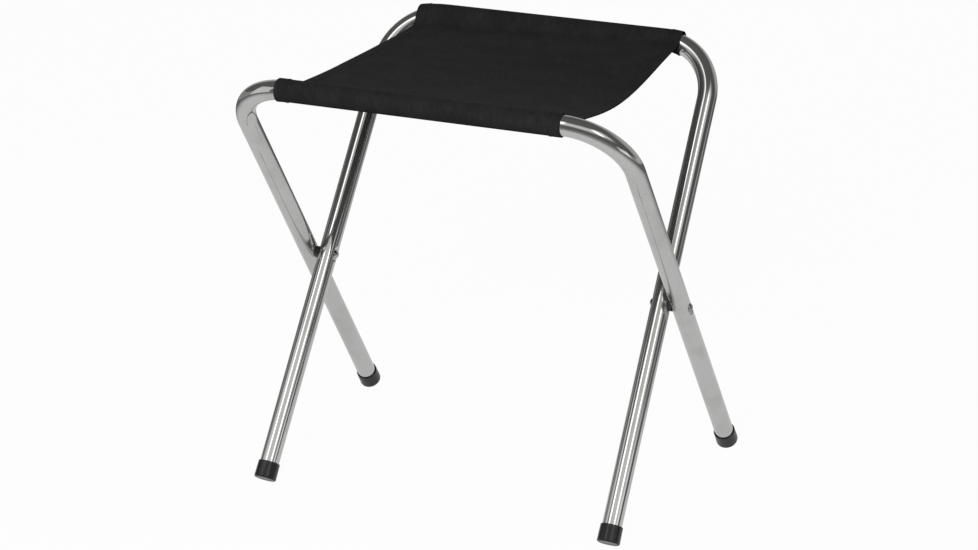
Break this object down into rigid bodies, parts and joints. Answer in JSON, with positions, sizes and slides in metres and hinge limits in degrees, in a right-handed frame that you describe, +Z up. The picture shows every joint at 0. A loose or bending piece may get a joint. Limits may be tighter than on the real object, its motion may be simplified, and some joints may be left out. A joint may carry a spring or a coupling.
{
  "type": "folding camp stool",
  "caption": "Folding camp stool with a black cloth seat sewn round the top bars of two chromed tube frames that cross and turn on side rivets.",
  "frame": {"origin": "on the floor under the middle of the stool", "axes": "+Z up, +Y to the back, +X to the sitter's left as seen from behind, which is the right side seen from the front; X runs along the bars and the pivot axis"},
  "size_m": [0.4239, 0.3357, 0.4222],
  "materials": {
    "chromed_steel": "polished chrome plate on steel tube",
    "rivet_steel": "zinc plated steel, satin",
    "foot_rubber": "black moulded rubber, soft gloss",
    "spacer_nylon": "black nylon, satin",
    "seat_cloth": "black woven polyester, fine ribbed weave",
    "seat_thread": "black polyester sewing thread"
  },
  "bodies": {
    "outer_frame": {"outer_frame_tube": "chromed_steel", "foot_cap_rear_left": "foot_rubber", "foot_cap_rear_right": "foot_rubber", "pivot_rivet_left": "rivet_steel", "pivot_rivet_right": "rivet_steel", "pivot_spacer_left": "spacer_nylon", "pivot_spacer_right": "spacer_nylon"},
    "inner_frame": {"inner_frame_tube": "chromed_steel", "foot_cap_front_left": "foot_rubber", "foot_cap_front_right": "foot_rubber"},
    "seat_front": {"front_sleeve": "seat_cloth", "front_seat_panel": "seat_cloth", "front_left_hem": "seat_cloth", "front_right_hem": "seat_cloth", "front_seam_stitches": "seat_thread"},
    "seat_rear": {"rear_sleeve": "seat_cloth", "rear_seat_panel": "seat_cloth", "rear_left_hem": "seat_cloth", "rear_right_hem": "seat_cloth", "rear_seam_stitches": "seat_thread"}
  },
  "joints": [
    {"name": "fold", "type": "hinge", "parent": "outer_frame", "child": "inner_frame", "pos_m": [0, 0, 0.19562], "axis": [1, 0, 0], "range_deg": [0, 65.5]},
    {"name": "front_sleeve_turn", "type": "hinge", "parent": "outer_frame", "child": "seat_front", "pos_m": [0, -0.15576, 0.41001], "axis": [-1, 0, 0], "range_deg": [0, 56]},
    {"name": "rear_sleeve_turn", "type": "hinge", "parent": "inner_frame", "child": "seat_rear", "pos_m": [0, 0.15576, 0.41001], "axis": [1, 0, 0], "range_deg": [0, 56]}
  ],
  "couplings": [
    {"joint": "front_sleeve_turn", "follows": "fold", "ratio": 0.8549},
    {"joint": "rear_sleeve_turn", "follows": "fold", "ratio": 0.8549}
  ]
}
